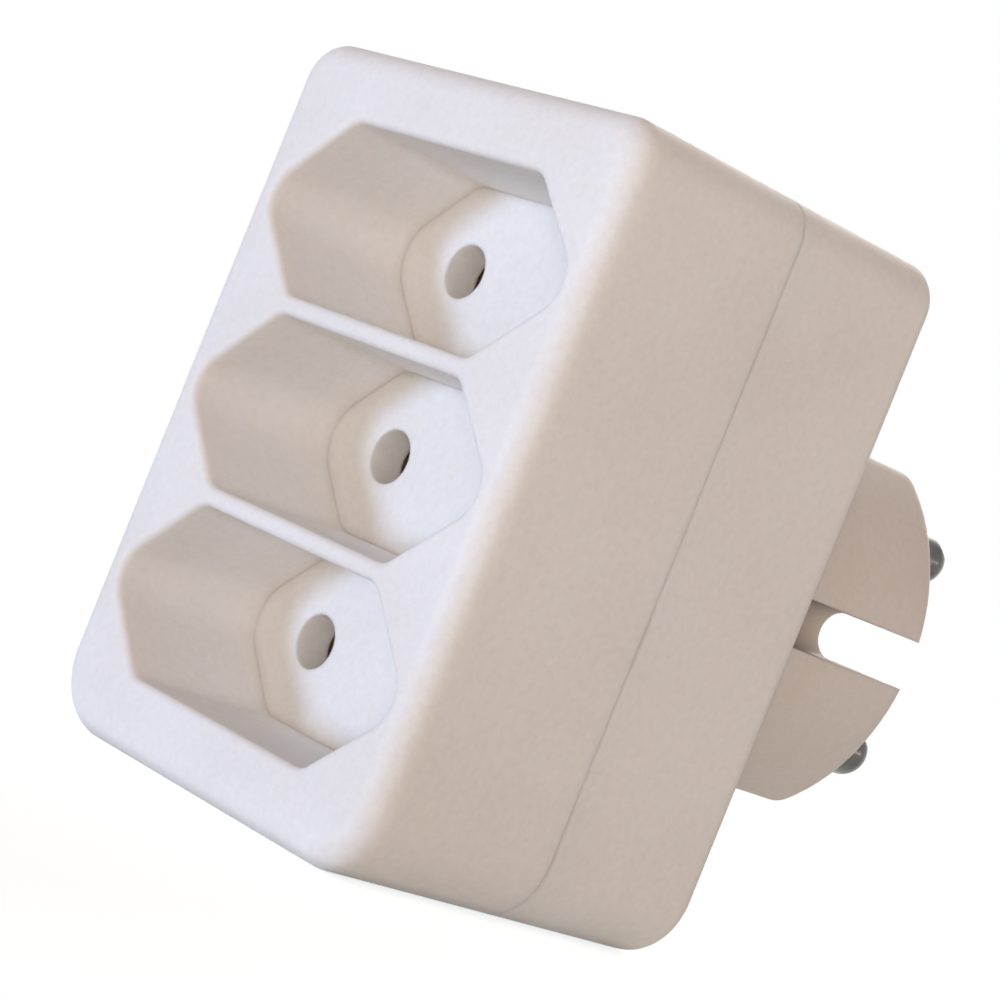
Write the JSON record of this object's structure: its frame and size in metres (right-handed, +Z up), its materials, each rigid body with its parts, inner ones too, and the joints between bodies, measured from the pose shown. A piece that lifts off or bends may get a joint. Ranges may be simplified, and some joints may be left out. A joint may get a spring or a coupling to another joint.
{
  "type": "multi socket adapter",
  "caption": "White rectangular adapter with flat two-pin sockets stacked in its front and a round mains plug with earth clip slots at its back.",
  "frame": {"origin": "middle of the housing's flat base", "axes": "+Y from the sockets' face through the housing to the plug's pins, +Z up along the stack of sockets, +X to the right seen from the sockets' side"},
  "size_m": [0.0424, 0.0728, 0.06],
  "materials": {
    "housing_plastic": "white moulded thermoplastic, satin",
    "nickel_plate": "nickel plated, polished",
    "brass_strip": "stamped brass, plain",
    "rivet_brass": "turned brass, plain",
    "screw_steel": "zinc plated steel"
  },
  "bodies": {
    "root": {"front_housing": "housing_plastic", "rear_housing": "housing_plastic", "plug_pin_upper": "nickel_plate", "plug_pin_lower": "nickel_plate", "bus_bar_left": "brass_strip", "bus_bar_right": "brass_strip", "contact_left_1": "brass_strip", "contact_rivet_left_1": "rivet_brass", "contact_left_2": "brass_strip", "contact_rivet_left_2": "rivet_brass", "contact_left_3": "brass_strip", "contact_rivet_left_3": "rivet_brass", "contact_right_1": "brass_strip", "contact_rivet_right_1": "rivet_brass", "contact_right_2": "brass_strip", "contact_rivet_right_2": "rivet_brass", "contact_right_3": "brass_strip", "contact_rivet_right_3": "rivet_brass", "housing_screw_lower_left": "screw_steel", "housing_screw_upper_left": "screw_steel", "housing_screw_lower_right": "screw_steel", "housing_screw_upper_right": "screw_steel"}
  },
  "joints": []
}
